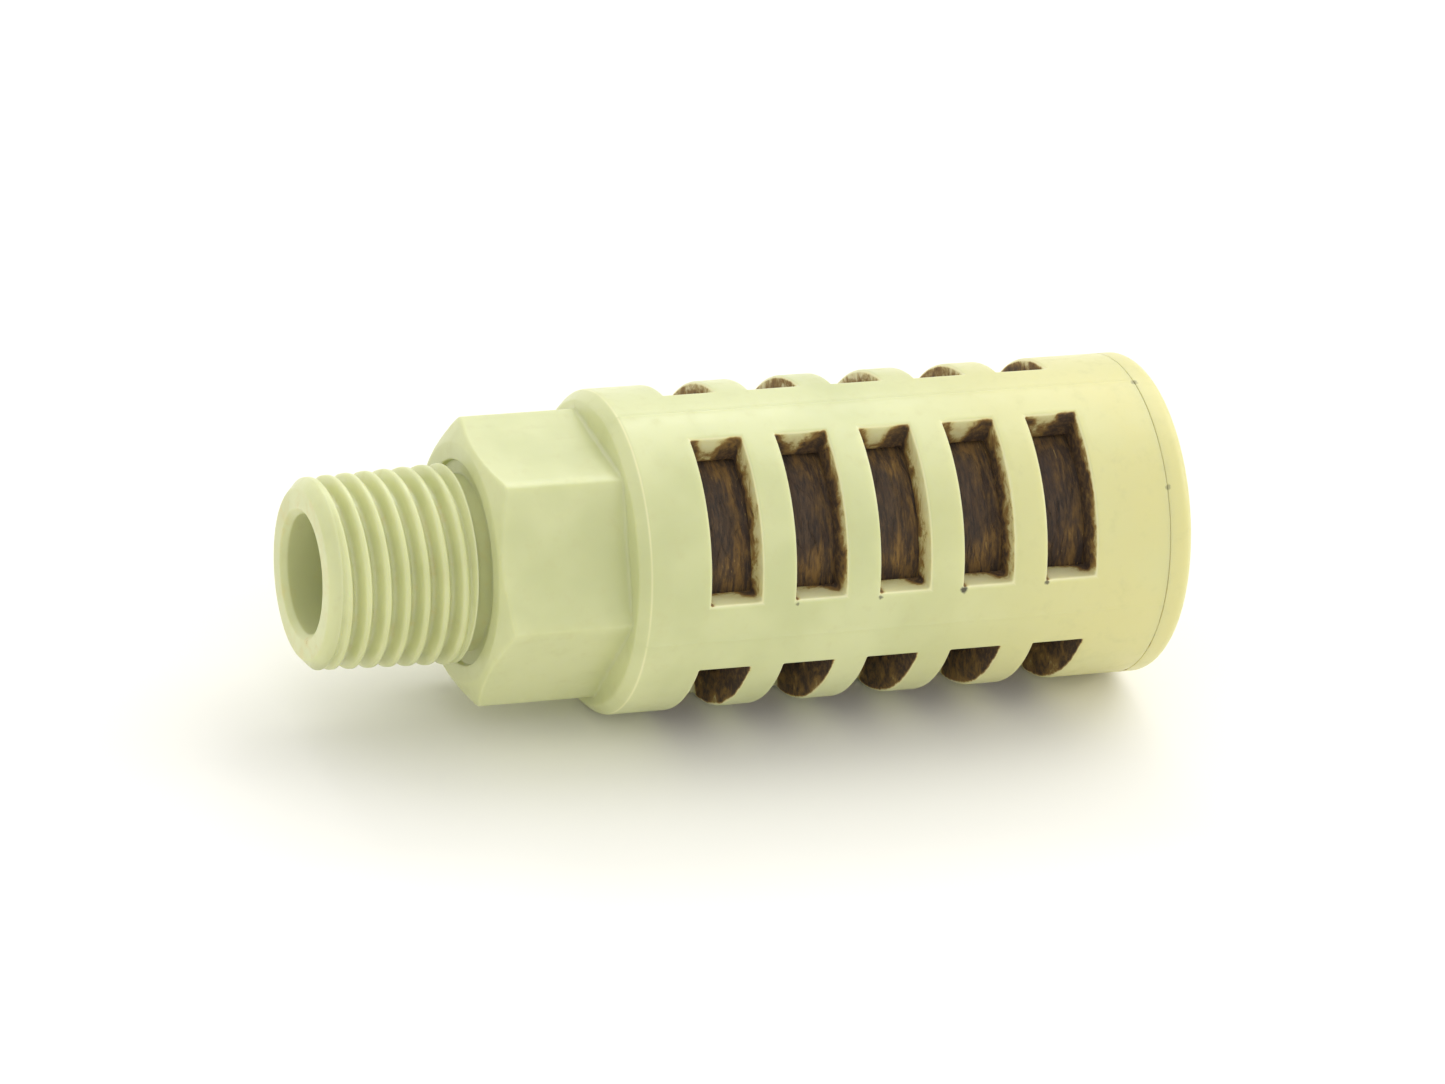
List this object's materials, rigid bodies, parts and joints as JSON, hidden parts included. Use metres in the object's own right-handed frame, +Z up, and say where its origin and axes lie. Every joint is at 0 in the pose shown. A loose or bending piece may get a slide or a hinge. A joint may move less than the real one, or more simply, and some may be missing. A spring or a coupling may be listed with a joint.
{
  "type": "pneumatic exhaust muffler",
  "caption": "Screw-in pneumatic exhaust muffler: resin cage with rows of windows round a fibrous sleeve, closed by a round cap, with a hexagon and tapered pipe thread.",
  "frame": {"origin": "on the muffler's axis, in the plane of the hexagon's seat face, where the thread ends", "axes": "+X along the axis, from the thread towards the closed end; +Z up, square to a pair of the hexagon's flats"},
  "size_m": [0.06, 0.022, 0.022],
  "materials": {
    "cage_resin": "cream-yellow translucent moulded resin, satin, aged and lightly soiled",
    "cap_resin": "the cage's resin, slightly warmer, with a fine seam where it meets the cage",
    "absorber_fibre": "matted fibre soaked with brown and black oil mist",
    "core_resin": "plain moulded resin, oil-stained"
  },
  "bodies": {
    "root": {"muffler_body": "cage_resin", "end_cap": "cap_resin", "absorber_sleeve": "absorber_fibre", "core_tube": "core_resin"}
  },
  "joints": []
}
